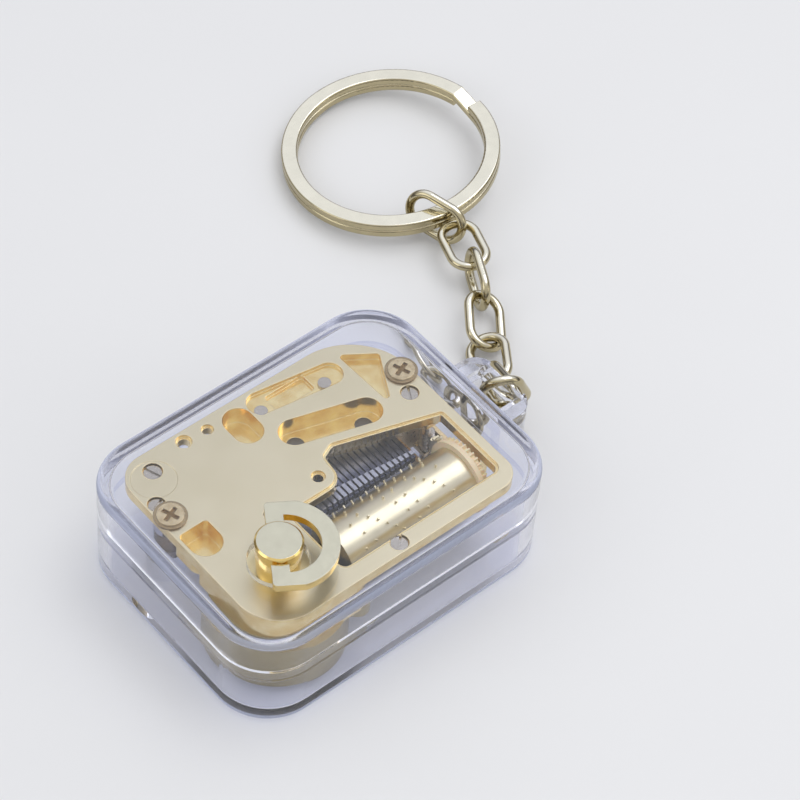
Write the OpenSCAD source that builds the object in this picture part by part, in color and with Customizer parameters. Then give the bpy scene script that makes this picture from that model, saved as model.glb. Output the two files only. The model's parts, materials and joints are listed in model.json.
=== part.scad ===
// Keychain cylinder music box: a clear two-part case, an 18-note movement hung under its
// bedplate, a folding winding key, a seven-link chain and a split ring.
// +X points to the chain lug, +Z is up, and the origin is the centre of the case's underside.

/* [Case] */
// Length of the case along X
case_l = 50; // [49:0.25:54]
// Width of the case along Y
case_w = 38.15; // [37.4:0.25:41]
// Height of the closed case
case_h = 16.24; // [16.1:0.1:18]
// Corner radius in plan
case_r = 7.8; // [6.6:0.2:8.4]
// Radius of the long outer edges
edge_r = 1.0; // [0.6:0.1:1.3]
// Thickness of the side walls
wall_t = 1.6; // [1.3:0.05:1.7]
// Thickness of the lid's top
lid_t = 1.4; // [1.1:0.05:1.5]
// Thickness of the tray's floor
floor_t = 1.5; // [1.2:0.05:1.8]
// Height of the parting line
seam_z = 8.8; // [8.2:0.1:9.4]
// Height of the tray's tongue above the parting line
tongue_h = 1.2; // [0.8:0.1:2]
// Thickness of the tongue
tongue_t = 0.75; // [0.6:0.05:0.85]
// Clearance round the tongue
lap_gap = 0.05; // [0.03:0.01:0.1]
// Radius of the key's hole in the lid
key_hole_r = 3.95; // [3.5:0.05:4.5]
// Radius of the two screw posts in the tray
post_r = 2.2; // [1.8:0.1:2.4]

/* [Lug] */
// Reach of the lug beyond the case
lug_reach = 7; // [6.8:0.1:8]
// Width of the lug
lug_w = 11.6; // [11:0.1:13]
// Corner radius of the lug
lug_r = 2.9; // [2:0.1:3.2]
// Height of the lug's underside
lug_z = 5.2; // [4.4:0.1:6]
// Height of the lug's top
lug_top = 11; // [10.9:0.1:12]
// Radius of the round bar that the chain hangs on
bar_r = 1.1; // [0.9:0.05:1.2]
// Length of the bar between the lug's arms
eye_w = 6.8; // [6:0.1:7.6]
// Gap between the bar and the case side of the eye
eye_gap = 2.2; // [2:0.1:2.4]

/* [Bedplate] */
// Height of the bedplate's underside
plate_z = 12.1; // [12:0.05:12.2]
// Thickness of the bedplate
plate_t = 1.7; // [1.5:0.05:1.75]
// Left, front, right and back edges of the bedplate
plate_box = [-20.3, -15.3, 20.8, 16.8];
// Corner radii: front left, front right, back right, back left
plate_r = [6.4, 3, 9.5, 4];
// Window over the cylinder: left, front, right and back edges
window_box = [-6.5, -12.6, 19.1, -2];
// Corner radius of the window
window_r = 1; // [0.5:0.1:1.5]
// Width of the step round the window
bevel_w = 0.4; // [0.2:0.05:0.5]
// Depth of the step round the window
bevel_h = 0.3; // [0.2:0.05:0.5]
// Thickness of the rim that hangs round the spring housing's corner
rim_t = 0.6; // [0.4:0.05:0.7]
// Depth of the deep cast pockets
pocket_d = 2.9; // [2.4:0.05:2.95]
// Wall and floor thickness of the cast pockets
pocket_wall = 0.45; // [0.3:0.05:0.6]

/* [Case screws] */
// Places of the two case screws
case_screw_at = [[-18.7, 6.8], [19.5, 7.3]];
// Radius of a case screw's head
case_head_r = 2.2; // [1.8:0.1:2.3]
// Height of a case screw's head
case_head_h = 0.5; // [0.4:0.05:0.9]
// Radius of a case screw's shank
case_shank_r = 1.0; // [0.8:0.05:1.1]
// Length of a case screw's shank below the bedplate
case_shank_l = 5; // [4:0.25:7]

/* [Cylinder] */
// Height of the cylinder's axis
cyl_z = 8.4; // [8.3:0.05:8.5]
// Radius of the cylinder
cyl_r = 4.4; // [4.2:0.05:4.45]
// Left end of the cylinder
cyl_x = -3.9; // [-4:0.05:-3.7]
// Length of the cylinder
cyl_l = 20.8; // [20.4:0.1:20.9]
// Wall of the cylinder
cyl_wall = 0.5; // [0.3:0.05:0.8]
// Height of a pin above the cylinder
pin_h = 0.45; // [0.35:0.01:0.46]
// Radius of a pin
pin_r = 0.17; // [0.12:0.01:0.2]
// Pins in each note's row
pins_per_row = 6; // [4:1:9]
// Radius of the cylinder's arbor
arbor_r = 0.6; // [0.5:0.05:0.7]
// Radial clearance of every running fit
run_gap = 0.03; // [0.02:0.01:0.05]

/* [Comb] */
// Number of tines
tines = 18; // [12:1:24]
// Height of the comb's upper face
comb_top = 10.4; // [10.3:0.05:10.5]
// Thickness of the comb
comb_t = 1.0; // [0.8:0.05:1.1]
// Left and right edges of the comb
comb_x = [-1.6, 13.9];
// Gap between the pins and the tines' tips
tip_gap = 0.06; // [0.04:0.01:0.15]
// Where the tines meet the comb's back at its left and right edges
root_y = [5.55, 1.15];
// Depth of the comb's back
comb_back = 6.3; // [5.4:0.1:7]
// Width of the slots between tines
slot_w = 0.25; // [0.15:0.01:0.35]
// Places of the two comb screws
comb_screw_at = [[2.4, 7.9], [11.5, 5.1]];
// Radius of a comb screw's shank
comb_shank_r = 1.2; // [1:0.05:1.3]
// Radius of a comb screw's head
comb_head_r = 1.8; // [1.6:0.05:2]
// Height of a comb screw's head
comb_head_h = 0.9; // [0.7:0.05:1]

/* [Drive] */
// Place of the key's axis
key_at = [-12.95, -7.55];
// Teeth of the great wheel
great_teeth = 48; // [48:4:48]
// Pitch radius of the great wheel
great_r = 6.2; // [6.1:0.02:6.22]
// Teeth of the cylinder's pinion
drive_teeth = 12; // [12:4:12]
// Width of the great wheel's teeth along its radius
great_face = 0.7; // [0.5:0.05:0.75]
// Thickness of the great wheel
great_t = 1.0; // [0.8:0.05:1.1]
// Radius of the spring housing
drum_r = 8.6; // [8.4:0.05:8.9]
// Height of the spring housing's underside
drum_z = 2; // [1.7:0.05:2.4]
// Height of the spring housing's upper face
drum_top = 9.5; // [9.4:0.05:9.6]
// Radius of the mainspring's chamber
chamber_r = 5.3; // [5:0.05:5.4]
// Thickness of the housing's floor
drum_floor = 1; // [0.8:0.05:1.4]
// Places of the two housing screws
housing_screw_at = [[-8.7, -0.4], [-5.6, -13.6]];
// Radius of the winding arbor
wind_r = 1.2; // [1:0.05:1.3]
// Turns of the mainspring
spring_turns = 5; // [3:1:6]
// Thickness of the mainspring
spring_t = 0.2; // [0.15:0.01:0.3]
// Height of the mainspring
spring_h = 5; // [4:0.1:5.6]
// Teeth of the ratchet wheel
ratchet_teeth = 16; // [12:1:20]
// Radius of the ratchet wheel
ratchet_r = 2.8; // [2.4:0.1:3]
// Thickness of the ratchet wheel and click
ratchet_t = 0.5; // [0.4:0.05:0.55]

/* [Governor] */
// Module of the cylinder gear, the governor pinion and the worm wheel
gear_m = 0.25; // [0.25:0.01:0.25]
// Teeth of the cylinder gear
gear_teeth = 40; // [40:8:40]
// Width of the cylinder gear
gear_w = 1.5; // [1.2:0.05:1.55]
// Width of the smooth collar at the gear's side next to the cylinder
collar_w = 0.7; // [0.5:0.05:0.8]
// Teeth of the governor pinion
gov_teeth = 8; // [8:1:8]
// Angle of the governor arbor below the cylinder's axis
gov_drop = 25; // [24:0.5:26]
// Teeth of the worm wheel
worm_teeth = 20; // [20:4:20]
// Middle of the worm wheel along X
worm_x = 19.4; // [19.3:0.05:19.45]
// Width of the worm wheel
worm_wheel_w = 1; // [0.8:0.05:1]
// Middle radius of the worm's thread
worm_r = 0.9; // [0.88:0.01:0.95]
// Half depth of the worm's thread
worm_depth = 0.2; // [0.15:0.01:0.2]
// Length of the worm's thread
worm_l = 3.2; // [2.6:0.1:4]
// Radius of the fan
fan_r = 3; // [2.5:0.1:3.1]
// Thickness of the governor frame's walls
frame_t = 0.6; // [0.5:0.05:0.65]

/* [Key] */
// Height of the key's top
key_top = 20; // [19.8:0.1:21]
// Radius of the key's top
key_r = 3.1; // [3:0.05:3.12]
// Radius of the key's foot
key_foot_r = 2.75; // [2.4:0.05:3]
// Distance of the wing's pivot below the key's top
pivot_drop = 1.3; // [1.2:0.05:1.5]
// Direction in which the folded wing points
wing_az = -33; // [-60:1:-30]
// Thickness of the wing
wing_t = 1.2; // [1:0.05:1.3]
// Outer radius of the wing
wing_r = 6.65; // [6.2:0.05:7]
// Inner radius of the wing's opening
wing_open_r = 4.4; // [4.2:0.05:4.6]
// Distance of the wing's arc centre from its pivot
wing_off = 0.95; // [0.7:0.05:1.2]
// Length of the wing behind its pivot
wing_heel = 1.3; // [1:0.1:1.6]
// Radius of the wing's trunnions
trunnion_r = 0.45; // [0.35:0.05:0.5]

/* [Chain] */
// Diameter of the links' wire
wire_d = 1.3; // [1.1:0.05:1.35]
// Outer length of a link
link_l = 9.8; // [9.4:0.1:10.4]
// Outer width of a link
link_w = 6.3; // [6.1:0.1:6.6]
// Play between linked wires
link_gap = 0.08; // [0.06:0.01:0.12]
// Outer radius of the split ring
ring_r = 15.7; // [15.5:0.1:16.5]
// Radial width of the split ring's wire
ring_band = 2.3; // [2:0.05:2.4]
// Height of each of the ring's two coils
coil_h = 1.15; // [1:0.05:1.2]
// Rounding of the ring's wire
coil_edge = 0.3; // [0.2:0.05:0.4]

/* [Chain pose] */
// Place of the first link along the lug's bar
link_on_bar = -0.04; // [-0.5:0.02:0.4]
// Heading, climb and roll of each link in degrees, and the slack before it, from the lug on
link_pose = [
  [5.3, -63.5, 126.9, 0],
  [71.6, -21.5, 98.2, 0.55],
  [54.1, -4.6, -19.7, 0.19],
  [53.3, 8.6, 26.2, 0.31],
  [63.2, 4.1, 95.6, 0],
  [69.7, -2.5, -1.9, 0.72],
  [106.9, 5.5, 111, 0.36]
];
// Heading from the last link's middle to the split ring's middle
ring_az = 75.8; // [74:0.2:78]
// Height of the split ring's middle below the last link's middle
ring_sink = 0.74; // [0.6:0.02:0.76]
// Tilt of the split ring about X and Y
ring_tilt = [-3.65, -3.53];
// Heading of the free end of the split ring's upper coil
ring_end_az = 8; // [0:4:356]

/* [Hidden] */
$fn = 64;
// Overlap of a round corner or end with the straight sides that meet it
hair = 0.002;

// Case
lug_x = case_l / 2 + lug_reach;
bar_x = lug_x - bar_r;
bar_z = lug_top - bar_r;
cavity_l = case_l - 2 * wall_t;
cavity_w = case_w - 2 * wall_t;
cavity_r = case_r - wall_t;
lid_under = case_h - lid_t;
inner_edge_r = edge_r / 2;
eye_x = bar_x - bar_r - eye_gap;

// Bedplate
plate_top = plate_z + plate_t;
rim_end_x = window_box[0];
// Pockets and holes of the bedplate as [x, y, radius]
side_hole = [[-18.9, 9.4, 1.2], [18.1, 3.9, 1.25], [-16.1, 13.9, 1.3], [1.5, -13.8, 1.25]];
side_hole_d = 1;
side_shank = 0.6;
side_head_h = 0.65;
side_slot_az = [20, 60, 110, 42];
small_hole_d = 0.5;
small_hole = [[-10.1, 15.25, 1.1], [-6.5, 15, 0.85]];
lobe = [0, 0.46, 2.45];
lobe_hole_r = 0.95;
disc_mark = [-16.8, 12.7, 3];
disc_mark_d = 0.06;
pin_at = [[1, 13.4], [10.5, 12.1]];
pin_head_r = 0.9;
pocket_b = [-19.9, -1.2, -15.4, 3.75];
pocket_b_r = 2.2;
slot_d = [[-2.5, 11.7], [-2.5, 13.7]];
slot_d_r = 2.1;
slot_e = [[1.6, 14.3], [11.75, 12.7]];
slot_e_r = 1.9;
slot_e_well = [2.8, 12.2, 9.1, 15.1];
slot_f = [[2.1, 7.9], [11.75, 5]];
slot_f_r = 2.15;
pad_wall = 0.95;
triangle_g = [[14.5, 14.6], [14.9, 3.6], [19.2, 11.4]];
triangle_g_r = [0.5, 0.5, 0.5];
shallow_d = 1.2;
sloped_window = [[2, -3], [19.1, -3], [19.1, -1.3], [4.6, 3.25], [2.7, 2.4]];
sloped_window_r = [0.3, 0.3, 0.3, 1, 0.6];

// Gears
gear_r = gear_m * gear_teeth / 2;
gov_r = gear_m * gov_teeth / 2;
worm_wheel_r = gear_m * worm_teeth / 2;
drive_m = 2 * great_r / great_teeth;
drive_r = drive_m * drive_teeth / 2;
gear_x = cyl_x + cyl_l;
drive_x = key_at[0] + great_r;
drive_w = great_face + 0.1;
cyl_y = key_at[1];
gov_y = cyl_y + (gear_r + gov_r) * cos(gov_drop);
gov_z = cyl_z - (gear_r + gov_r) * sin(gov_drop);
worm_y = gov_y + worm_wheel_r + worm_r;
mesh_dir = atan2(gov_y - cyl_y, cyl_z - gov_z);
worm_lead = PI * gear_m;
great_z = cyl_z + drive_r;
tooth_top = 0.8;
tooth_root = 1.05;
collar_r = gear_r + gear_m * tooth_top + 0.06;
great_back_z = great_z + drive_m * tooth_root;
great_top_z = great_back_z + great_t;
great_rim_r = great_r + great_face / 2;
spindle_r = 0.3;
bearing_w = 1.4;
bearing_x = gear_x + gear_w + 0.8;
arbor_end = bearing_x + bearing_w;
arbor_start = drive_x - drive_w / 2 - 0.3;

// Comb
comb_w = comb_x[1] - comb_x[0];
comb_z = comb_top - comb_t;
tine_pitch = comb_w / tines;
tine_w = tine_pitch - slot_w;
weight_w = tine_w * 0.94;
weight_l = [2.2, 0.6];
weight_t = 0.55;
tip_y = cyl_y + sqrt(pow(cyl_r + pin_h, 2) - pow(comb_z - cyl_z, 2)) + tip_gap;

// Governor
frame_y = worm_y + worm_r + worm_depth + 0.3;
frame_x = [15.5, worm_x + worm_r + worm_depth + 0.15 + frame_t];
frame_low = 3.4;
frame_high = 9.2;
foot_w = 1.7;
fan_z = [drum_z + 0.1, frame_low - 0.3];
governor_screw_at = [for (x = [frame_x[0] + 0.9, worm_x - 0.8]) [x, frame_y + frame_t + 0.95]];
governor_screw_r = 0.45;
governor_head_r = 0.8;
governor_head_h = 0.6;

// Key
pivot_z = key_top - pivot_drop;
key_foot_z = plate_top + 0.15;

// Chain
wire_r = wire_d / 2;
link_half = link_l / 2 - wire_r;
strand = link_w / 2 - wire_r;
ring_mid = ring_r - ring_band / 2;
coil_gap = 0.06;

function unit(v) = v / norm(v);
function turn(p, a) = [p[0] * cos(a) - p[1] * sin(a), p[0] * sin(a) + p[1] * cos(a)];

// Corner circle centres and tangent points of a convex outline with rounded corners
function corner_dirs(p, i) = let(n = len(p))
  [unit(p[(i + n - 1) % n] - p[i]), unit(p[(i + 1) % n] - p[i])];
function half_angle(d) = acos(d[0] * d[1]) / 2;

// Outline of a convex shape, given counter-clockwise, moved outwards by t
function grown(p, t) = [for (i = [0 : len(p) - 1]) let(d = corner_dirs(p, i))
  p[i] - unit(d[0] + d[1]) * t / sin(half_angle(d))];

module round_poly(p, r, proud = 0) {
  polygon([for (i = [0 : len(p) - 1]) let(d = corner_dirs(p, i), t = r[i] / tan(half_angle(d)))
    each [p[i] + d[0] * t, p[i] + d[1] * t]]);
  for (i = [0 : len(p) - 1]) let(d = corner_dirs(p, i))
    translate(p[i] + unit(d[0] + d[1]) * r[i] / sin(half_angle(d))) circle(r[i] + proud);
}

// Rectangle [left, front, right, back] with its four corner radii, moved in by t
module round_box(b, r, t = 0) {
  round_poly([[b[0] + t, b[1] + t], [b[2] - t, b[1] + t], [b[2] - t, b[3] - t], [b[0] + t, b[3] - t]],
    [for (q = r) q - t]);
}

module centred_box(l, w, r) {
  round_box([-l / 2, -w / 2, l / 2, w / 2], [r, r, r, r]);
}

module slot(p, r) {
  for (q = p) translate(q) circle(r);
  translate(p[0]) rotate(atan2(p[1][1] - p[0][1], p[1][0] - p[0][0]))
    translate([0, hair - r]) square([norm(p[1] - p[0]), 2 * (r - hair)]);
}

module plate(z0, z1) {
  translate([0, 0, z0]) linear_extrude(z1 - z0) children();
}

// Block with rounded vertical corners of radius r and rounded top and bottom edges of radius e
module soft_box(l, w, z0, z1, r, e) {
  module side(d) {
    union() {
      translate([-d / 2, z0 + e]) square([d, z1 - z0 - 2 * e]);
      translate([-d / 2 + e, z0]) square([d - 2 * e, z1 - z0]);
      for (x = [-d / 2 + e, d / 2 - e], z = [z0 + e, z1 - e]) translate([x, z]) circle(e);
    }
  }
  rotate([90, 0, 0]) linear_extrude(w - 2 * r, center = true) side(l);
  rotate([90, 0, 90]) linear_extrude(l - 2 * r, center = true) side(w);
  for (x = [r - l / 2, l / 2 - r], y = [r - w / 2, w / 2 - r])
    translate([x, y, 0]) rotate_extrude() intersection() {
      side(2 * r);
      translate([0, z0]) square([r, z1 - z0]);
    }
}

module case_outside() {
  soft_box(case_l, case_w, 0, case_h, case_r, edge_r);
}

module case_inside() {
  soft_box(cavity_l, cavity_w, floor_t, lid_under, cavity_r, inner_edge_r);
}

module tongue_outline(gap = 0) {
  grow = 2 * (tongue_t + gap);
  centred_box(cavity_l + grow, cavity_w + grow, cavity_r + grow / 2);
}

module band(z0, z1) {
  translate([-case_l, -case_w, z0]) cube([2 * case_l, 2 * case_w, z1 - z0]);
}

// Plan of the lug, from inside the wall to its rounded outer corners
module lug_plan() {
  x0 = case_l / 2 - wall_t + tongue_t + lap_gap;
  round_box([x0, -lug_w / 2, lug_x, lug_w / 2], [0.01, lug_r, lug_r, 0.01]);
}

module case_lid() {
  color("lightcyan", 0.35) difference() {
    union() {
      intersection() {
        case_outside();
        band(seam_z, case_h);
      }
      plate(seam_z, lug_top) lug_plan();
    }
    case_inside();
    plate(seam_z - 1, seam_z + tongue_h + lap_gap) tongue_outline(lap_gap);
    translate([key_at[0], key_at[1], lid_under - 1]) cylinder(h = lid_t + 2, r = key_hole_r);
    // Eye through the lug, leaving the round bar at its outer side
    difference() {
      translate([eye_x, -eye_w / 2, seam_z - 1]) cube([lug_x - eye_x + 1, eye_w, lug_top - seam_z + 2]);
      translate([bar_x, 0, bar_z]) rotate([90, 0, 0]) cylinder(h = eye_w + 1, r = bar_r, center = true);
    }
  }
}

module case_tray() {
  color("lightcyan", 0.35) {
    difference() {
      union() {
        intersection() {
          case_outside();
          band(0, seam_z);
        }
        plate(floor_t, seam_z + tongue_h) tongue_outline();
        plate(lug_z, seam_z) lug_plan();
      }
      case_inside();
      translate([eye_x, -eye_w / 2, lug_z - 1]) cube([lug_x - eye_x + 1, eye_w, seam_z - lug_z + 2]);
    }
    for (p = case_screw_at) translate([p[0], p[1], floor_t]) difference() {
      cylinder(h = plate_z - floor_t, r = post_r);
      translate([0, 0, plate_z - floor_t - case_shank_l]) cylinder(h = case_shank_l + 1, r = case_shank_r);
    }
  }
}

// Round head with a cross recess and a plain shank below it
module screw(head_r, head_h, shank_r, shank_l) {
  recess_l = head_r * 1.1;
  recess_w = head_r * 0.26;
  difference() {
    union() {
      cylinder(h = head_h * 0.6, r = head_r);
      cylinder(h = head_h, r = head_r * 0.82);
      translate([0, 0, -shank_l]) cylinder(h = shank_l, r = shank_r);
    }
    for (a = [20, 110]) rotate(a) translate([-recess_l / 2, -recess_w / 2, head_h * 0.45])
      cube([recess_l, recess_w, head_h]);
  }
}

module case_screw(i) {
  color("goldenrod") translate([case_screw_at[i][0], case_screw_at[i][1], plate_top])
    screw(case_head_r, case_head_h, case_shank_r, plate_t + case_shank_l);
}

module plate_outline(t = 0) {
  round_box(plate_box, plate_r, t);
}

module window_outline(t = 0) {
  difference() {
    union() {
      round_box(window_box, [window_r, window_r, window_r, window_r], -t);
      round_poly(grown(sloped_window, t), [for (r = sloped_window_r) r + t], hair);
      // Opens the corner between them, so that the lobe alone shapes it
      translate([lobe[0], window_box[3] - 1]) square([lobe[2] - 0.05 - t, lobe[1] - window_box[3] + 0.5]);
    }
    translate([lobe[0], lobe[1]]) circle(lobe[2] - t);
  }
}

module bedplate() {
  pad_z = plate_top - pocket_d - pocket_wall;
  color("wheat") difference() {
    union() {
      plate(plate_z, plate_top) plate_outline();
      // Rim round the spring housing's corner
      intersection() {
        plate(drum_top, plate_z) difference() {
          plate_outline();
          plate_outline(rim_t);
        }
        translate([plate_box[0], plate_box[1], drum_top])
          cube([rim_end_x - plate_box[0], pocket_b[1] - plate_box[1], plate_z - drum_top]);
      }
      // Walls and floors of the deep pockets
      plate(pad_z, plate_z) intersection() {
        round_box(pocket_b, [pocket_b_r, pocket_b_r, 0.6, 0.6], -pocket_wall);
        plate_outline();
      }
      plate(pad_z, plate_z) slot(slot_d, slot_d_r + pocket_wall);
      plate(comb_top, plate_z) slot(slot_f, slot_f_r + pad_wall);
      for (p = housing_screw_at) translate([p[0], p[1], drum_top]) cylinder(h = plate_z - drum_top, r = 1.4);
      // Right-hand bearing of the cylinder
      translate([bearing_x, cyl_y, cyl_z]) rotate([0, 90, 0]) cylinder(h = bearing_w, r = 1.5);
      translate([bearing_x, cyl_y - 1.5, cyl_z]) cube([bearing_w, 3, plate_z - cyl_z]);
    }
    window_cut();
    pocket_cuts();
    hole_cuts();
    translate([bearing_x - 1, cyl_y, cyl_z]) rotate([0, 90, 0])
      cylinder(h = bearing_w + 2, r = arbor_r + run_gap);
  }
}

module window_cut() {
  plate(plate_z - 4, plate_top + 1) window_outline();
  plate(plate_top - bevel_h, plate_top + 1) window_outline(bevel_w);
}

module pocket_cuts() {
  pocket_z = plate_top - pocket_d;
  plate(pocket_z, plate_top + 1) round_box(pocket_b, [pocket_b_r, pocket_b_r, 0.6, 0.6]);
  plate(pocket_z, plate_top + 1) slot(slot_d, slot_d_r);
  plate(pocket_z, plate_top + 1) slot(slot_f, slot_f_r);
  plate(plate_top - shallow_d / 2, plate_top + 1) slot(slot_e, slot_e_r);
  plate(plate_top - shallow_d, plate_top + 1) round_box(slot_e_well, [0.5, 0.5, 0.5, 0.5]);
  plate(plate_top - shallow_d, plate_top + 1) round_poly(triangle_g, triangle_g_r, hair);
}

module hole_cuts() {
  deep = plate_top - drum_top + 3;
  plate(plate_top - disc_mark_d, plate_top + 1) translate([disc_mark[0], disc_mark[1]]) circle(disc_mark[2]);
  for (h = side_hole) {
    translate([h[0], h[1], plate_z - 1]) cylinder(h = deep, r = h[2] * side_shank);
    translate([h[0], h[1], plate_top - side_hole_d]) cylinder(h = deep, r = h[2]);
  }
  for (h = small_hole) {
    translate([h[0], h[1], plate_z - 1]) cylinder(h = deep, r = h[2] * 0.7);
    translate([h[0], h[1], plate_top - small_hole_d]) cylinder(h = 1, r = h[2]);
  }
  translate([lobe[0], lobe[1], plate_z - 1]) cylinder(h = deep, r = lobe_hole_r * 0.7);
  translate([lobe[0], lobe[1], plate_top - small_hole_d]) cylinder(h = 1, r = lobe_hole_r);
  for (p = pin_at) {
    translate([p[0], p[1], plate_z - 1]) cylinder(h = deep, r = pin_head_r * 0.7);
    translate([p[0], p[1], plate_top - shallow_d / 2]) cylinder(h = deep, r = pin_head_r + 0.05);
  }
  for (p = case_screw_at) translate([p[0], p[1], plate_z - 1]) cylinder(h = deep, r = case_shank_r);
  for (p = comb_screw_at) translate([p[0], p[1], comb_top - 1])
    cylinder(h = plate_top - comb_top + 2, r = comb_shank_r);
  translate([housing_screw_at[0][0], housing_screw_at[0][1], drum_top - 1]) cylinder(h = deep, r = 0.7);
  translate([housing_screw_at[1][0], housing_screw_at[1][1], drum_top - 1])
    cylinder(h = plate_z - drum_top + 2, r = 0.7);
  translate([key_at[0], key_at[1], plate_z - 1]) cylinder(h = deep, r = wind_r + run_gap);
}

// Slotted screw sunk in one of the bedplate's side holes
module side_screw(i) {
  h = side_hole[i];
  head_r = h[2] - 0.12;
  color("silver") translate([h[0], h[1], plate_top - side_hole_d]) difference() {
    union() {
      cylinder(h = side_head_h, r = head_r);
      translate([0, 0, side_hole_d - plate_t]) cylinder(h = plate_t - side_hole_d, r = h[2] * side_shank);
    }
    rotate(side_slot_az[i]) translate([-h[2], -0.15, side_head_h / 2]) cube([2 * h[2], 0.3, side_head_h]);
  }
}

module plate_pin(i) {
  color("silver") translate([pin_at[i][0], pin_at[i][1], plate_z - 0.4]) {
    cylinder(h = plate_top - shallow_d / 2 - plate_z + 0.4, r = pin_head_r * 0.7);
    translate([0, 0, plate_top - shallow_d / 2 - plate_z + 0.4]) cylinder(h = 0.3, r = pin_head_r);
  }
}

// Place along Y of the line where the tines meet the comb's back
function root_at(x) = root_y[0] + (root_y[1] - root_y[0]) * (x - comb_x[0]) / (comb_x[1] - comb_x[0]);
function tine_x(i) = comb_x[0] + (i + 0.5) * tine_pitch;

module comb() {
  back = [for (x = comb_x) [x, root_at(x)], for (x = [comb_x[1], comb_x[0]]) [x, root_at(x) + comb_back]];
  color("slategray") difference() {
    plate(comb_z, comb_top) union() {
      round_poly(back, [0.3, 0.3, 0.8, 0.8]);
      for (i = [0 : tines - 1]) translate([tine_x(i) - tine_w / 2, tip_y])
        square([tine_w, root_at(tine_x(i)) + 1 - tip_y]);
    }
    for (p = comb_screw_at) translate([p[0], p[1], comb_z - 1])
      cylinder(h = comb_t + 2, r = comb_shank_r + run_gap);
  }
}

// Lead weights on the tines, longest at the bass end
module comb_weights() {
  color("dimgray") for (i = [0 : tines - 1])
    let(l = weight_l[0] + (weight_l[1] - weight_l[0]) * i / (tines - 1))
      translate([tine_x(i) - weight_w / 2, tip_y + slot_w, comb_top]) cube([weight_w, l, weight_t]);
}

module comb_screw(i) {
  color("goldenrod") translate([comb_screw_at[i][0], comb_screw_at[i][1], comb_z]) mirror([0, 0, 1])
    screw(comb_head_r, comb_head_h, comb_shank_r, comb_t + plate_top - pocket_d - comb_top - 0.15);
}

// Places what turns about the cylinder's axis, with its own axis along Z, from X = x on
module on_cylinder(x) {
  translate([x, cyl_y, cyl_z]) rotate([0, 90, 0]) children();
}

function row_x(i) = tine_x(i) - cyl_x;
// Angle of pin k in row i, spread so that no two rows look alike
function pin_angle(i, k) = 360 / pins_per_row * k + 137.5 * i + 14 * sin(97 * i + 61 * k);

module cylinder_drum() {
  color("gold") on_cylinder(cyl_x) {
    difference() {
      cylinder(h = cyl_l, r = cyl_r);
      translate([0, 0, cyl_wall]) cylinder(h = cyl_l - 2 * cyl_wall, r = cyl_r - cyl_wall);
      translate([0, 0, -1]) cylinder(h = cyl_l + 2, r = arbor_r);
    }
    for (i = [0 : tines - 1], k = [0 : pins_per_row - 1]) translate([0, 0, row_x(i)])
      rotate([0, 90, pin_angle(i, k)]) translate([0, 0, cyl_r - 0.2]) cylinder(h = pin_h + 0.2, r = pin_r, $fn = 16);
  }
}

module cylinder_arbor() {
  color("silver") on_cylinder(arbor_start) cylinder(h = arbor_end - arbor_start, r = arbor_r);
}

// Spur wheel with a tooth centred on angle 0
module gear(n, m, w, bore, add = tooth_top) {
  pitch = m * n / 2;
  tip = pitch + m * add;
  root = pitch - m * tooth_root;
  step = 360 / n;
  difference() {
    linear_extrude(w) polygon([for (i = [0 : n - 1]) each [
      turn([root, 0], step * (i - 0.3)), turn([tip, 0], step * (i - 0.13)),
      turn([tip, 0], step * (i + 0.13)), turn([root, 0], step * (i + 0.3))]]);
    translate([0, 0, -1]) cylinder(h = w + 2, r = bore);
  }
}

module cylinder_pinion() {
  color("gold") on_cylinder(drive_x - drive_w / 2) rotate(180) gear(drive_teeth, drive_m, drive_w, arbor_r);
}

module cylinder_gear() {
  color("antiquewhite") on_cylinder(gear_x) rotate(mesh_dir) difference() {
    union() {
      gear(gear_teeth, gear_m, gear_w, arbor_r);
      difference() {
        cylinder(h = collar_w, r = collar_r);
        translate([0, 0, -1]) cylinder(h = collar_w + 2, r = arbor_r);
      }
    }
    translate([0, 0, gear_w - 0.4]) difference() {
      cylinder(h = 1, r = gear_r - 1);
      cylinder(h = 3, r = 1.5, center = true);
    }
  }
}

module spring_housing() {
  notch_y = drive_r + drive_m + 0.3;
  notch_x = drive_x - drive_w / 2 - 0.15;
  color("darkkhaki") difference() {
    union() {
      translate([key_at[0], key_at[1], drum_z]) cylinder(h = drum_top - drum_z, r = drum_r);
      for (p = housing_screw_at) {
        plate(drum_top - 2, drum_top) slot([key_at, p], 1.6);
      }
    }
    translate([key_at[0], key_at[1], drum_z + drum_floor]) cylinder(h = drum_top, r = chamber_r);
    translate([key_at[0], key_at[1], drum_z - 1]) cylinder(h = drum_floor + 2, r = wind_r + run_gap);
    for (p = housing_screw_at) translate([p[0], p[1], 0]) {
      cylinder(h = drum_top - 2, r = 1.5);
      cylinder(h = drum_top + 1, r = 0.7);
    }
    // Notch for the cylinder's pinion, and the bearing beside it
    translate([notch_x, cyl_y - notch_y, cyl_z - notch_y])
      cube([drive_w + 0.3, 2 * notch_y, drum_top]);
    translate([notch_x - 1, cyl_y, cyl_z]) rotate([0, 90, 0]) cylinder(h = drum_r, r = arbor_r + run_gap);
  }
}

module housing_screw(i) {
  color("silver") translate([housing_screw_at[i][0], housing_screw_at[i][1], drum_top - 2]) mirror([0, 0, 1])
    screw(1.3, 0.7, 0.7, 2 + plate_z - drum_top);
}

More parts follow.
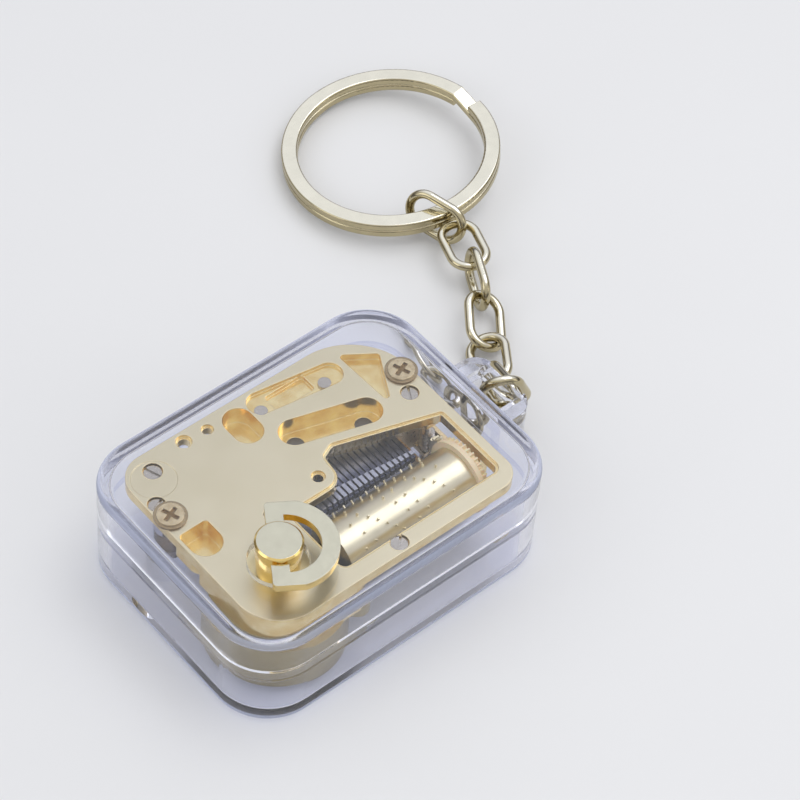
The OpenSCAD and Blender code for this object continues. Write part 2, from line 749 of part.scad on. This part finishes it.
// Strip wound from the arbor out to the chamber's wall
module mainspring() {
  r0 = wind_r + 0.35;
  r1 = chamber_r - spring_t / 2 - 0.02;
  steps = spring_turns * 24;
  function at(i, side) = let(a = 360 * spring_turns * i / steps, r = r0 + (r1 - r0) * i / steps)
    turn([r + side * spring_t / 2, 0], a);
  color("lightsteelblue") translate([key_at[0], key_at[1], drum_z + drum_floor + 0.3]) linear_extrude(spring_h)
    polygon(concat([for (i = [0 : steps]) at(i, -1)], [for (i = [steps : -1 : 0]) at(i, 1)]));
}

// Contrate wheel: its teeth hang from the rim and mesh with the pinion below
module great_wheel() {
  step = 360 / great_teeth;
  pitch = drive_m * PI;
  tip = drive_m * tooth_top;
  root = drive_m * tooth_root;
  color("gold") translate([key_at[0], key_at[1], 0]) difference() {
    union() {
      translate([0, 0, great_back_z]) cylinder(h = great_t, r = great_rim_r);
      for (i = [0 : great_teeth - 1]) rotate((i + 0.5) * step) translate([great_r + great_face / 2, 0, great_z])
        rotate([90, 0, -90]) linear_extrude(great_face) polygon([
          [-pitch * 0.28, root + 0.1], [-pitch * 0.28, root], [-pitch * 0.12, -tip],
          [pitch * 0.12, -tip], [pitch * 0.28, root], [pitch * 0.28, root + 0.1]]);
    }
    translate([0, 0, great_back_z - 1]) cylinder(h = great_t + 2, r = wind_r + run_gap);
    for (a = [0 : 90 : 270]) rotate(a + 20) translate([4.3, 0, great_back_z - 1]) cylinder(h = great_t + 2, r = 0.9);
  }
}

module ratchet_wheel() {
  step = 360 / ratchet_teeth;
  color("silver") translate([key_at[0], key_at[1], great_top_z]) difference() {
    linear_extrude(ratchet_t) polygon([for (i = [0 : ratchet_teeth - 1]) each [
      turn([ratchet_r - 0.5, 0], step * i), turn([ratchet_r, 0], step * (i + 0.85))]]);
    translate([0, 0, -1]) cylinder(h = ratchet_t + 2, r = wind_r);
  }
}

// Pawl with its pivot on the great wheel, drawn lifted clear of the ratchet wheel
module click() {
  pivot = [-3.2, ratchet_r + 0.7];
  nose = [-0.02, ratchet_r + 0.05];
  color("silver") translate([key_at[0], key_at[1], great_top_z]) {
    linear_extrude(ratchet_t) {
      translate(pivot) circle(0.6);
      polygon([nose, nose + [0.12, 0.49], pivot + [0.2, 0.55], pivot + [0, -0.35]]);
    }
  }
}

module winding_arbor() {
  color("silver") translate([key_at[0], key_at[1], drum_z + 0.1])
    cylinder(h = pivot_z - 1 - drum_z - 0.1, r = wind_r);
}

module governor_frame() {
  span = frame_x[1] - frame_x[0];
  arm_w = 2;
  arm_y = worm_y - 0.9;
  ear = [frame_x[0], frame_x[1] - frame_t];
  color("darkgoldenrod") difference() {
    union() {
      translate([frame_x[0], frame_y, frame_low]) cube([span, frame_t, plate_z - frame_low]);
      translate([frame_x[0], frame_y, plate_z - 0.8]) cube([span, frame_t + foot_w, 0.8]);
      for (z = [frame_low, frame_high]) translate([worm_x - arm_w / 2, arm_y, z])
        cube([arm_w, frame_y - arm_y + frame_t / 2, frame_t + 0.1]);
      for (x = ear) translate([x, 0, 0]) {
        translate([0, gov_y, gov_z]) rotate([0, 90, 0]) cylinder(h = frame_t, r = 0.8);
        translate([0, gov_y, gov_z - 0.8]) cube([frame_t, frame_y - gov_y + frame_t / 2, 1.6]);
      }
    }
    translate([frame_x[0] - 1, gov_y, gov_z]) rotate([0, 90, 0]) cylinder(h = span + 2, r = spindle_r + run_gap);
    translate([worm_x, worm_y, frame_low - 1]) cylinder(h = frame_high, r = spindle_r + run_gap);
    for (p = governor_screw_at) translate([p[0], p[1], plate_z - 2]) cylinder(h = 4, r = governor_screw_r);
  }
}

module governor_screw(i) {
  color("silver") translate([governor_screw_at[i][0], governor_screw_at[i][1], plate_z - 0.8]) mirror([0, 0, 1])
    screw(governor_head_r, governor_head_h, governor_screw_r, 0.8);
}

// Cap that holds the worm's upper pivot
module end_plate() {
  color("lightsteelblue") translate([worm_x, worm_y, frame_high + frame_t + 0.1]) {
    translate([-1, -0.9, 0]) cube([2, 2, 0.4]);
  }
}

module governor_arbor() {
  turned = mesh_dir + 180 + 180 / gov_teeth;
  color("silver") translate([0, gov_y, gov_z]) rotate([0, 90, 0]) {
    translate([0, 0, frame_x[0] - 0.1]) cylinder(h = frame_x[1] - frame_x[0] + 0.2, r = spindle_r);
    translate([0, 0, gear_x + collar_w + 0.05]) rotate(turned)
      gear(gov_teeth, gear_m, gear_w - collar_w + 0.1, spindle_r * 0.9);
  }
}

module worm_wheel() {
  color("gold") translate([worm_x - worm_wheel_w / 2, gov_y, gov_z]) rotate([0, 90, 0])
    rotate(90 + 180 / worm_teeth) gear(worm_teeth, gear_m, worm_wheel_w, spindle_r, 0.48);
}

// Single-start worm on its spindle; the thread's crest faces the middle of the worm wheel
module worm() {
  turns = worm_l / worm_lead;
  color("silver") {
    translate([worm_x, worm_y, gov_z]) rotate(-90 - 180 * turns) linear_extrude(worm_l, center = true, twist = -360 * turns,
      slices = ceil(turns * 10), $fn = 20) translate([worm_depth, 0]) circle(worm_r);
    translate([worm_x, worm_y, fan_z[0]]) cylinder(h = frame_high + frame_t - fan_z[0], r = spindle_r);
  }
}

module fan() {
  h = fan_z[1] - fan_z[0];
  color("silver") translate([worm_x, worm_y, fan_z[0]]) difference() {
    union() {
      cylinder(h = h, r = 0.75);
      for (a = [30, 210]) rotate(a) {
        translate([0, -0.15, 0]) cube([fan_r - 0.3, 0.3, h]);
        translate([fan_r - 0.35, 0, 0]) cylinder(h = h, r = 0.35);
      }
    }
    translate([0, 0, -1]) cylinder(h = h + 2, r = spindle_r);
  }
}

module key_post() {
  edge = 0.25;
  h = key_top - key_foot_z;
  color("goldenrod") translate([key_at[0], key_at[1], key_foot_z]) difference() {
    rotate_extrude() union() {
      polygon([[0, 0], [key_foot_r, 0], [key_r, h - edge], [key_r - edge, h], [0, h]]);
    }
    translate([0, 0, -1]) cylinder(h = pivot_z - 1 - key_foot_z + 1, r = wind_r);
    for (s = [0, 180]) rotate(wing_az + 90 + s) translate([key_r - 1.2, 0, pivot_z - key_foot_z])
      rotate([0, 90, 0]) cylinder(h = 3, r = trunnion_r + run_gap);
  }
}

// Flat D-shaped wing, drawn folded out along +X, with trunnions that turn in the post
module key_wing() {
  arm = key_r + 0.08;
  half_w = wing_r - 0.25;
  color("goldenrod") translate([key_at[0], key_at[1], pivot_z]) rotate(wing_az) {
    translate([0, 0, -wing_t / 2]) linear_extrude(wing_t) difference() {
      union() {
        intersection() {
          translate([wing_off, 0]) circle(wing_r);
          translate([wing_off, -half_w]) square([wing_r, 2 * half_w]);
        }
        round_box([-wing_heel, -half_w, wing_off + 1, half_w], [0.6, 0.01, 0.01, 0.6]);
      }
      intersection() {
        translate([wing_off, 0]) circle(wing_open_r);
        translate([wing_off, -wing_r]) square([wing_r, 2 * wing_r]);
      }
      translate([-wing_heel - 1, -arm]) square([wing_heel + 1 + wing_off + 0.3, 2 * arm]);
    }
    for (s = [-1, 1]) translate([0, s * (arm + 0.3), 0]) rotate([90 * s, 0, 0]) cylinder(h = 1.1, r = trunnion_r);
  }
}

// Chain, counted from the lug. Each link hooks the one before it with link_gap of play.
function link_dir(i) = let(p = link_pose[i]) [cos(p[1]) * cos(p[0]), cos(p[1]) * sin(p[0]), sin(p[1])];
function bar_point() = [bar_x, link_on_bar, bar_z];
function near_end(i) = i == 0
  ? bar_point() - (bar_r + wire_r + link_gap) * unit([link_dir(0)[0], 0, link_dir(0)[2]])
  : far_end(i - 1) - (wire_d + link_gap + link_pose[i][3]) * unit(link_dir(i - 1) + link_dir(i));
function far_end(i) = near_end(i) + 2 * link_half * link_dir(i);
function link_centre(i) = near_end(i) + link_half * link_dir(i);

module link(i) {
  color("palegoldenrod") translate(link_centre(i)) rotate([link_pose[i][2], -link_pose[i][1], link_pose[i][0]]) {
    for (s = [-1, 1]) {
      translate([0, s * strand, 0]) rotate([0, 90, 0])
        cylinder(h = 2 * (link_half - strand), r = wire_r, center = true);
      translate([s * (link_half - strand), 0, 0]) rotate(s * 90 - 90 - 90)
        rotate_extrude(angle = 180) translate([strand, 0]) circle(wire_r);
    }
  }
}

// Cross-section of the split ring's flat wire moved in by t, its lower face on Z = t
module ring_wire(t = 0) {
  e = coil_edge;
  inner = ring_r - ring_band;
  translate([inner + e, t]) square([ring_band - 2 * e, coil_h - 2 * t]);
  translate([inner + t, e]) square([ring_band - 2 * t, coil_h - 2 * e]);
  for (x = [inner + e, ring_r - e], z = [e, coil_h - e]) translate([x, z]) circle(e - t, $fn = 24);
}

// Two flat coils of one wire: each runs nearly all the way round, and a ramp joins them
module split_ring() {
  ramp = 14;
  low = -coil_h - coil_gap / 2;
  high = coil_gap / 2;
  last = link_centre(len(link_pose) - 1);
  middle = last + [ring_mid * cos(ring_az), ring_mid * sin(ring_az), -ring_sink];
  color("palegoldenrod") translate(middle) rotate([ring_tilt[0], ring_tilt[1], 0]) rotate(ring_end_az) {
    for (z = [low, high]) translate([0, 0, z]) rotate_extrude(angle = 360 - ramp) ring_wire();
    hull() {
      translate([0, 0, low]) rotate(-ramp - 1) rotate_extrude(angle = 0.6) ring_wire(0.02);
      translate([0, 0, high]) rotate(0.4) rotate_extrude(angle = 0.6) ring_wire(0.02);
    }
  }
}

case_lid();
case_tray();
case_screw(0);  // case_screw_1
case_screw(1);  // case_screw_2
bedplate();
plate_pin(0);  // plate_pin_1
plate_pin(1);  // plate_pin_2
side_screw(0);  // side_screw_1
side_screw(1);  // side_screw_2
side_screw(2);  // side_screw_3
side_screw(3);  // side_screw_4
comb();
comb_weights();
comb_screw(0);  // comb_screw_1
comb_screw(1);  // comb_screw_2
cylinder_drum();  // cylinder
cylinder_arbor();
cylinder_pinion();
cylinder_gear();
spring_housing();
housing_screw(0);  // housing_screw_1
housing_screw(1);  // housing_screw_2
mainspring();
great_wheel();
click();
winding_arbor();
ratchet_wheel();
governor_frame();
governor_screw(0);  // governor_screw_1
governor_screw(1);  // governor_screw_2
end_plate();
governor_arbor();
worm_wheel();
worm();
fan();
key_post();
key_wing();
link(0);  // link_1
link(1);  // link_2
link(2);  // link_3
link(3);  // link_4
link(4);  // link_5
link(5);  // link_6
link(6);  // link_7
split_ring();
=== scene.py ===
"""Dresses the keychain music box: materials, studio and camera. It adds no pieces."""

import json
import math

import bpy
from mathutils import Matrix, Vector


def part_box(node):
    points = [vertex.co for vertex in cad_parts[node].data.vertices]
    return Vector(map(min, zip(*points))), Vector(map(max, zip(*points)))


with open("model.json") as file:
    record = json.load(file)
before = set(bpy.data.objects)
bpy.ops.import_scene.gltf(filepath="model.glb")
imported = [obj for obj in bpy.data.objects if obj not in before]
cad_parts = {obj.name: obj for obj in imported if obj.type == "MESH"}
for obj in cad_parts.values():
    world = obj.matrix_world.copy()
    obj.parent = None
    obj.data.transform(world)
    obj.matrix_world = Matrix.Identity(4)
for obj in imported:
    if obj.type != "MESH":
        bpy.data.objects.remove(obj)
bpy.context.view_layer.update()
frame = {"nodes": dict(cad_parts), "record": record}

MM = 0.001
NODES = frame["nodes"]
SLOT_NODES = {}
for part in frame["record"]["subparts"]:
    SLOT_NODES.setdefault(part["material_slot"], []).append(part["node"])


# ---------------------------------------------------------------- materials

class Shader:
    """A material's node tree, with short names for the nodes this file uses.

    The methods return output sockets. They take such a socket, a number, or a colour as a
    tuple. self.place is the point being shaded, in the shared frame with the model at rest.
    """

    # The middle of a noise's values, where most of them lie
    PATCH_SPAN = (0.35, 0.65)
    GRAIN_SPAN = (0.3, 0.7)
    # Cosines of the angle between the real and the rounded normal, on an edge and off it
    EDGE_SPAN = (0.93, 0.995)
    BEVEL_SAMPLES = 4

    def __init__(self, name):
        self.material = bpy.data.materials.new(name)
        self.material.use_nodes = True
        self.tree = self.material.node_tree
        self.bsdf = self.tree.nodes["Principled BSDF"]
        self.place = self.node("ShaderNodeTexCoord").outputs["Object"]

    def node(self, kind, **settings):
        made = self.tree.nodes.new(kind)
        for key, value in settings.items():
            setattr(made, key, value)
        return made

    def fill(self, socket, value):
        """Links a socket to value, or sets it where value is a number or a colour."""
        if isinstance(value, bpy.types.NodeSocket):
            self.tree.links.new(value, socket)
        else:
            socket.default_value = (*value, 1) if isinstance(value, tuple) else value

    def set(self, **values):
        """Fills the Principled shader's sockets. A name has _ where the socket's has a space."""
        for key, value in values.items():
            self.fill(self.bsdf.inputs[key.replace("_", " ")], value)

    def math(self, operation, first, second=0.0):
        node = self.node("ShaderNodeMath", operation=operation)
        self.fill(node.inputs[0], first)
        self.fill(node.inputs[1], second)
        return node.outputs["Value"]

    def remap(self, value, low, high, out_low, out_high):
        """Goes from out_low to out_high as value goes from low to high, and no further."""
        node = self.node("ShaderNodeMapRange")
        self.fill(node.inputs["Value"], value)
        for name, number in (("From Min", low), ("From Max", high),
                             ("To Min", out_low), ("To Max", out_high)):
            self.fill(node.inputs[name], number)
        return node.outputs["Result"]

    def mix(self, factor, first, second):
        """Colour between first and second."""
        node = self.node("ShaderNodeMix", data_type="RGBA")
        # The node has a set of sockets for each type of data, and these are the colours
        colours_in, colour_out = node.inputs[6:8], node.outputs[2]
        self.fill(node.inputs["Factor"], factor)
        for socket, colour in zip(colours_in, (first, second)):
            self.fill(socket, colour)
        return colour_out

    def mix_shaders(self, factor, first, second):
        """Shader between first and second."""
        node = self.node("ShaderNodeMixShader")
        for socket, value in zip(node.inputs, (factor, first, second)):
            self.fill(socket, value)
        return node.outputs["Shader"]

    def noise(self, size_mm, detail=3.0, stretch=(1, 1, 1)):
        """Noise whose cells are about size_mm across, drawn out along an axis by stretch."""
        mapping = self.node("ShaderNodeMapping")
        mapping.inputs["Scale"].default_value = [1 / (MM * size_mm * by) for by in stretch]
        self.fill(mapping.inputs["Vector"], self.place)
        noise = self.node("ShaderNodeTexNoise")
        noise.inputs["Scale"].default_value = 1.0
        noise.inputs["Detail"].default_value = detail
        self.fill(noise.inputs["Vector"], mapping.outputs["Vector"])
        return noise.outputs["Fac"]

    def patches(self, size_mm):
        """0 to 1 in soft patches about size_mm across."""
        return self.remap(self.noise(size_mm), *self.PATCH_SPAN, 0, 1)

    def roughness(self, grain, smoothest, roughest):
        return self.remap(grain, *self.GRAIN_SPAN, smoothest, roughest)

    def soft_edges(self, radius_mm):
        """Normal with sharp edges rounded to the eye."""
        node = self.node("ShaderNodeBevel", samples=self.BEVEL_SAMPLES)
        node.inputs["Radius"].default_value = radius_mm * MM
        return node.outputs["Normal"]

    def relief(self, height, depth_mm, edge_mm):
        """Normal with a relief depth_mm deep and edges rounded by edge_mm."""
        node = self.node("ShaderNodeBump")
        node.inputs["Strength"].default_value = 1.0
        node.inputs["Distance"].default_value = depth_mm * MM
        self.fill(node.inputs["Height"], height)
        self.fill(node.inputs["Normal"], self.soft_edges(edge_mm))
        return node.outputs["Normal"]

    def on_edge(self, radius_mm):
        """1 within radius_mm of a sharp edge and 0 away from it."""
        agree = self.node("ShaderNodeVectorMath", operation="DOT_PRODUCT")
        self.fill(agree.inputs[0], self.soft_edges(radius_mm))
        self.fill(agree.inputs[1], self.node("ShaderNodeNewGeometry").outputs["Normal"])
        return self.remap(agree.outputs["Value"], *self.EDGE_SPAN, 1, 0)

    def axis(self, which):
        """One coordinate of the place, in metres."""
        split = self.node("ShaderNodeSeparateXYZ")
        self.fill(split.inputs["Vector"], self.place)
        return split.outputs[which]

    def level(self):
        """1 where the surface faces straight up or down, 0 where it stands."""
        split = self.node("ShaderNodeSeparateXYZ")
        self.fill(split.inputs["Vector"], self.node("ShaderNodeTexCoord").outputs["Normal"])
        return self.math("ABSOLUTE", split.outputs["Z"])


def shaded(colour, share):
    return tuple(part * share for part in colour)


def metal(name, colour, rough, grain=0.5, depth=0.004):
    """Plated or machined metal: patchy tint and roughness, a fine grain and soft edges."""
    s = Shader(name)
    fine = s.noise(grain)
    s.set(
        Base_Color=s.mix(s.patches(3.0), shaded(colour, 0.9), colour),
        Metallic=1.0,
        Roughness=s.roughness(fine, *rough),
        Normal=s.relief(fine, depth, edge_mm=0.08),
    )
    return s


def gilt(name, face, shade_colour, rough=(0.13, 0.22)):
    """Polished gilt: what faces up or down is painted paler than the sides, a painted sheen of
    the light from above, and the sides carry a painted shade.
    """
    sheen_facing_span = (0.8, 0.97)
    s = Shader(name)
    patch = s.patches(2.5)
    # Painted sheen on faces that look up or down, painted shade on the standing sides
    painted_sheen_faces = s.mix(patch, shaded(face, 0.94), face)
    painted_shade_sides = s.mix(patch, shaded(shade_colour, 0.92), shade_colour)
    fine = s.noise(0.4)
    s.set(
        Base_Color=s.mix(s.remap(s.level(), *sheen_facing_span, 0, 1), painted_shade_sides, painted_sheen_faces),
        Metallic=1.0,
        Roughness=s.roughness(fine, *rough),
        Normal=s.relief(fine, 0.002, edge_mm=0.1),
    )
    return s


def moulded(name, colour):
    """Opaque moulded plastic with a faint mould grain."""
    s = Shader(name)
    s.set(
        Base_Color=s.mix(s.patches(1.5), shaded(colour, 0.93), colour),
        Roughness=0.4,
        Subsurface_Weight=0.2,
        Subsurface_Scale=0.6 * MM,
        Normal=s.relief(s.noise(0.35), 0.004, edge_mm=0.06),
    )
    return s


def die_casting():
    """Plated zinc casting: its ground top is champagne, its pockets and walls a deeper gold, and
    its sharp edges a paler gold that is partly wear and partly a painted highlight.
    """
    champagne = (0.68, 0.605, 0.405), (0.71, 0.635, 0.435)
    gold = (0.84, 0.61, 0.25), (0.94, 0.77, 0.40)
    edge_wear_and_highlight = (0.97, 0.82, 0.50)
    cast_rough, ground_rough = 0.18, 0.36
    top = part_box("bedplate")[1].z
    top_span = (top - 0.1 * MM, top - 0.07 * MM)
    s = Shader("die_casting")
    on_top = s.remap(s.axis("Z"), *top_span, 0, 1)
    face = s.mix(on_top, s.mix(s.patches(2.0), *gold), s.mix(s.patches(7.0), *champagne))
    s.set(
        # Sharp edges turn a paler gold: partly wear, partly a painted highlight
        Base_Color=s.mix(s.on_edge(0.3), face, edge_wear_and_highlight),
        Metallic=1.0,
        Roughness=s.remap(on_top, 0, 1, cast_rough, ground_rough),
        Normal=s.relief(s.noise(0.6), 0.006, edge_mm=0.14),
    )
    return s


def cross_screws():
    """Plated screws whose cross-shaped hollow is painted dark brown, a painted shade."""
    plating = (0.60, 0.47, 0.27), (0.74, 0.61, 0.38)
    recess_shade = (0.24, 0.15, 0.06)
    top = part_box("case_screw_1")[1].z
    recess_span = (top - 0.26 * MM, top - 0.1 * MM)
    s = Shader("brass_screws")
    in_recess_shade = s.remap(s.axis("Z"), *recess_span, 1, 0)
    fine = s.noise(0.4)
    s.set(
        # The cross-shaped hollow gets a dark brown painted shade
        Base_Color=s.mix(in_recess_shade, s.mix(s.patches(0.8), *plating), recess_shade),
        Metallic=1.0,
        Roughness=s.roughness(fine, 0.14, 0.22),
        Normal=s.relief(fine, 0.001, edge_mm=0.12),
    )
    return s


def comb_steel():
    """Ground comb: dark blue-grey, with a brighter band across the tines that is partly the
    ground zone and partly a painted highlight.
    """
    dark = (0.07, 0.075, 0.11), (0.10, 0.105, 0.15)
    ground_and_highlight = (0.19, 0.20, 0.26), (0.25, 0.26, 0.33)
    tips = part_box("comb")[0].y
    rise_span = (tips + 2.6 * MM, tips + 3.4 * MM)
    fall_span = (tips + 5.6 * MM, tips + 6.6 * MM)
    s = Shader("comb_steel")
    along = s.axis("Y")
    # The brighter band is partly the ground zone and partly a painted highlight
    in_ground_and_highlight = s.math(
        "MULTIPLY", s.remap(along, *rise_span, 0, 1), s.remap(along, *fall_span, 1, 0))
    patch = s.patches(1.2)
    grain = s.noise(0.2, stretch=(1, 8, 1))
    s.set(
        Base_Color=s.mix(in_ground_and_highlight, s.mix(patch, *dark), s.mix(patch, *ground_and_highlight)),
        Metallic=1.0,
        Roughness=s.roughness(grain, 0.26, 0.4),
        Normal=s.relief(grain, 0.004, edge_mm=0.05),
    )
    return s


def clear_plastic():
    """Clear moulded plastic with a light lavender diffuse layer along its top rim and round its
    foot, a painted sheen for the light that the rim catches.

    Lamps shine straight through it, and so light what is inside. Light that is still caught in
    the plastic after caught_after bounces goes straight on too, or it would run out of bounces
    there and leave the edge black.
    """
    tint, straight_tint = (0.92, 0.93, 0.985), (0.95, 0.955, 0.985)
    rim_sheen_tint, top_sheen, foot_sheen = (0.60, 0.64, 0.80), 0.55, 0.75
    caught_after = 2.5
    low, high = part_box("case_tray")[0].z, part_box("case_lid")[1].z
    top_span = (high - 1.3 * MM, high - 1.0 * MM)
    foot_span = (low + 1.2 * MM, low + 1.45 * MM)
    # How level the surface is where it turns over from the wall, and into the flat
    turning_span, flat_span = (0.05, 0.25), (0.82, 0.98)

    s = Shader("clear_plastic")
    s.set(
        Base_Color=tint,
        Roughness=0.03,
        IOR=1.49,
        Transmission_Weight=1.0,
        Normal=s.relief(s.noise(9.0, detail=1.0), 0.03, edge_mm=0.15),
    )
    level, height = s.level(), s.axis("Z")
    at_top = s.math(
        "MULTIPLY",
        s.remap(level, *turning_span, 0, top_sheen),
        s.remap(height, *top_span, 0, 1))
    at_foot = s.remap(height, *foot_span, foot_sheen, 0)
    sheen_share = s.math(
        "MULTIPLY", s.math("MAXIMUM", at_top, at_foot), s.remap(level, *flat_span, 1, 0))
    # Light lavender diffuse layer on the top rim and foot: a painted sheen
    rim_sheen = s.node("ShaderNodeBsdfDiffuse")
    s.fill(rim_sheen.inputs["Color"], rim_sheen_tint)
    plastic = s.mix_shaders(sheen_share, s.bsdf.outputs["BSDF"], rim_sheen.outputs["BSDF"])

    path = s.node("ShaderNodeLightPath")
    caught = s.math("GREATER_THAN", path.outputs["Ray Depth"], caught_after)
    passes = s.math("MAXIMUM", path.outputs["Is Shadow Ray"], caught)
    straight = s.node("ShaderNodeBsdfTransparent")
    s.fill(straight.inputs["Color"], straight_tint)
    shown = s.mix_shaders(passes, plastic, straight.outputs["BSDF"])
    s.fill(s.tree.nodes["Material Output"].inputs["Surface"], shown)
    return s


MATERIALS = {
    "clear_plastic": clear_plastic(),
    "die_casting": die_casting(),
    "comb_steel": comb_steel(),
    "brass_screws": cross_screws(),
    "dark_screws": metal("dark_screws", (0.16, 0.15, 0.14), rough=(0.3, 0.4)),
    "lead": metal("lead", (0.40, 0.41, 0.47), rough=(0.38, 0.5), depth=0.005),
    "brass": metal("brass", (0.80, 0.72, 0.50), rough=(0.28, 0.31), depth=0.0008),
    "gear_plastic": moulded("gear_plastic", (0.94, 0.76, 0.46)),
    "drum": metal("drum", (0.36, 0.29, 0.14), rough=(0.28, 0.4)),
    "spring_steel": metal("spring_steel", (0.42, 0.44, 0.50), rough=(0.25, 0.35)),
    # The steel's warm brownish tint is a painted reflection of the gold walls round these pins
    # and screws
    "steel": metal("steel", (0.54, 0.50, 0.44), rough=(0.18, 0.28), grain=0.3),
    "governor_plate": metal("governor_plate", (0.80, 0.62, 0.34), rough=(0.25, 0.35)),
    # In both gilts the paler faces are a painted sheen and the colour of the sides a painted
    # shade
    "key_gilt": gilt("key_gilt", (0.70, 0.68, 0.57), (0.95, 0.70, 0.26)),
    "chain_gilt": gilt(
        "chain_gilt", (0.97, 0.94, 0.83), (0.52, 0.45, 0.28), rough=(0.07, 0.14)),
}
for slot, names in SLOT_NODES.items():
    for name in names:
        for material_slot in NODES[name].material_slots:
            material_slot.material = MATERIALS[slot].material


# ---------------------------------------------------------------- studio

OBJECT_CENTRE = Vector((0.012, 0.012, 0.008))
# How high in the sky, from 0 at the horizon to 1 overhead, and the colour there
SKY = (
    (0.0, (0.14, 0.14, 0.17)),
    (0.2, (0.17, 0.17, 0.1802)),
    (0.42, (0.66, 0.66, 0.6996)),
    (0.75, (0.84, 0.85, 0.86)),
)
FLOOR_SIZE, FLOOR_GAP = 3.0, 0.02 * MM
FLOOR_COLOURS = (0.78, 0.78, 0.79), (0.82, 0.82, 0.83)


def area_light(name, direction, distance, size, radiance, colour=(1, 1, 1)):
    """Square soft box that faces the object from direction. radiance is its own brightness."""
    data = bpy.data.lights.new(name, "AREA")
    data.shape, data.size, data.color = "SQUARE", size, colour
    data.energy = radiance * math.pi * size * size
    lamp = bpy.data.objects.new(name, data)
    bpy.context.scene.collection.objects.link(lamp)
    towards = Vector(direction).normalized()
    lamp.location = OBJECT_CENTRE + towards * distance
    lamp.rotation_mode = "QUATERNION"
    lamp.rotation_quaternion = (-towards).to_track_quat("-Z", "Y")


area_light("key_box", (0.44, -0.05, 0.89), distance=0.6, size=0.44, radiance=1.55)
area_light("left_box", (-0.85, 0.25, 0.45), distance=0.6, size=0.35, radiance=1.2,
           colour=(0.94, 0.96, 1.0))
area_light("right_box", (0.6, -0.75, 0.3), distance=0.7, size=0.3, radiance=0.9)

world = bpy.data.worlds.new("studio")
bpy.context.scene.world = world
world.use_nodes = True
sky_tree = world.node_tree
background = sky_tree.nodes["Background"]
direction = sky_tree.nodes.new("ShaderNodeTexCoord")
split = sky_tree.nodes.new("ShaderNodeSeparateXYZ")
ramp = sky_tree.nodes.new("ShaderNodeValToRGB")
sky_tree.links.new(direction.outputs["Generated"], split.inputs["Vector"])
sky_tree.links.new(split.outputs["Z"], ramp.inputs["Fac"])
sky_tree.links.new(ramp.outputs["Color"], background.inputs["Color"])
background.inputs["Strength"].default_value = 1.0
stops = ramp.color_ramp.elements
stops[0].position, stops[1].position = SKY[0][0], SKY[-1][0]
for height, _ in SKY[1:-1]:
    stops.new(height)
for stop, (_, colour) in zip(stops, SKY):
    stop.color = (*colour, 1)

bpy.ops.mesh.primitive_plane_add(size=FLOOR_SIZE, location=(0, 0, -FLOOR_GAP))
floor = bpy.context.object
floor.name = "floor"
paper = Shader("floor")
paper.set(Base_Color=paper.mix(paper.noise(60.0), *FLOOR_COLOURS), Roughness=0.45)
floor.data.materials.append(paper.material)


# ---------------------------------------------------------------- camera

# The camera stands where the photographer did, on a long lens. SEEN_AT is where LOOK_AT comes
# in the picture, in pixels right of the middle and below it.
LENS_PX, LONG_SIDE, SENSOR_WIDTH = 3200.0, 800.0, 36.0
ELEVATION, AZIMUTH, ROLL = math.radians(50.78), math.radians(-43.92), math.radians(5.07)
DISTANCE = 0.41082
LOOK_AT = Vector((0, 0, 0.008))
SEEN_AT = (318.73 - LONG_SIDE / 2, 508.86 - LONG_SIDE / 2)
NEAREST, FARTHEST = 0.01, 10.0

back = Vector((
    math.sin(AZIMUTH) * math.cos(ELEVATION),
    -math.cos(AZIMUTH) * math.cos(ELEVATION),
    math.sin(ELEVATION),
))
level = Vector((math.cos(AZIMUTH), math.sin(AZIMUTH), 0))
rise = back.cross(level)
right = level * math.cos(ROLL) + rise * math.sin(ROLL)
up = rise * math.cos(ROLL) - level * math.sin(ROLL)
aside = -SEEN_AT[0] / LENS_PX * DISTANCE
above = SEEN_AT[1] / LENS_PX * DISTANCE
stand = LOOK_AT + right * aside + up * above + back * DISTANCE
turn = Matrix((right, up, back)).transposed().to_4x4()

sensor = bpy.data.cameras.new("camera")
sensor.sensor_width = SENSOR_WIDTH
sensor.lens = LENS_PX / LONG_SIDE * SENSOR_WIDTH
sensor.clip_start, sensor.clip_end = NEAREST, FARTHEST
camera = bpy.data.objects.new("camera", sensor)
bpy.context.scene.collection.objects.link(camera)
camera.matrix_world = Matrix.Translation(stand) @ turn
bpy.context.scene.camera = camera
bpy.context.scene.view_settings.view_transform = "Standard"
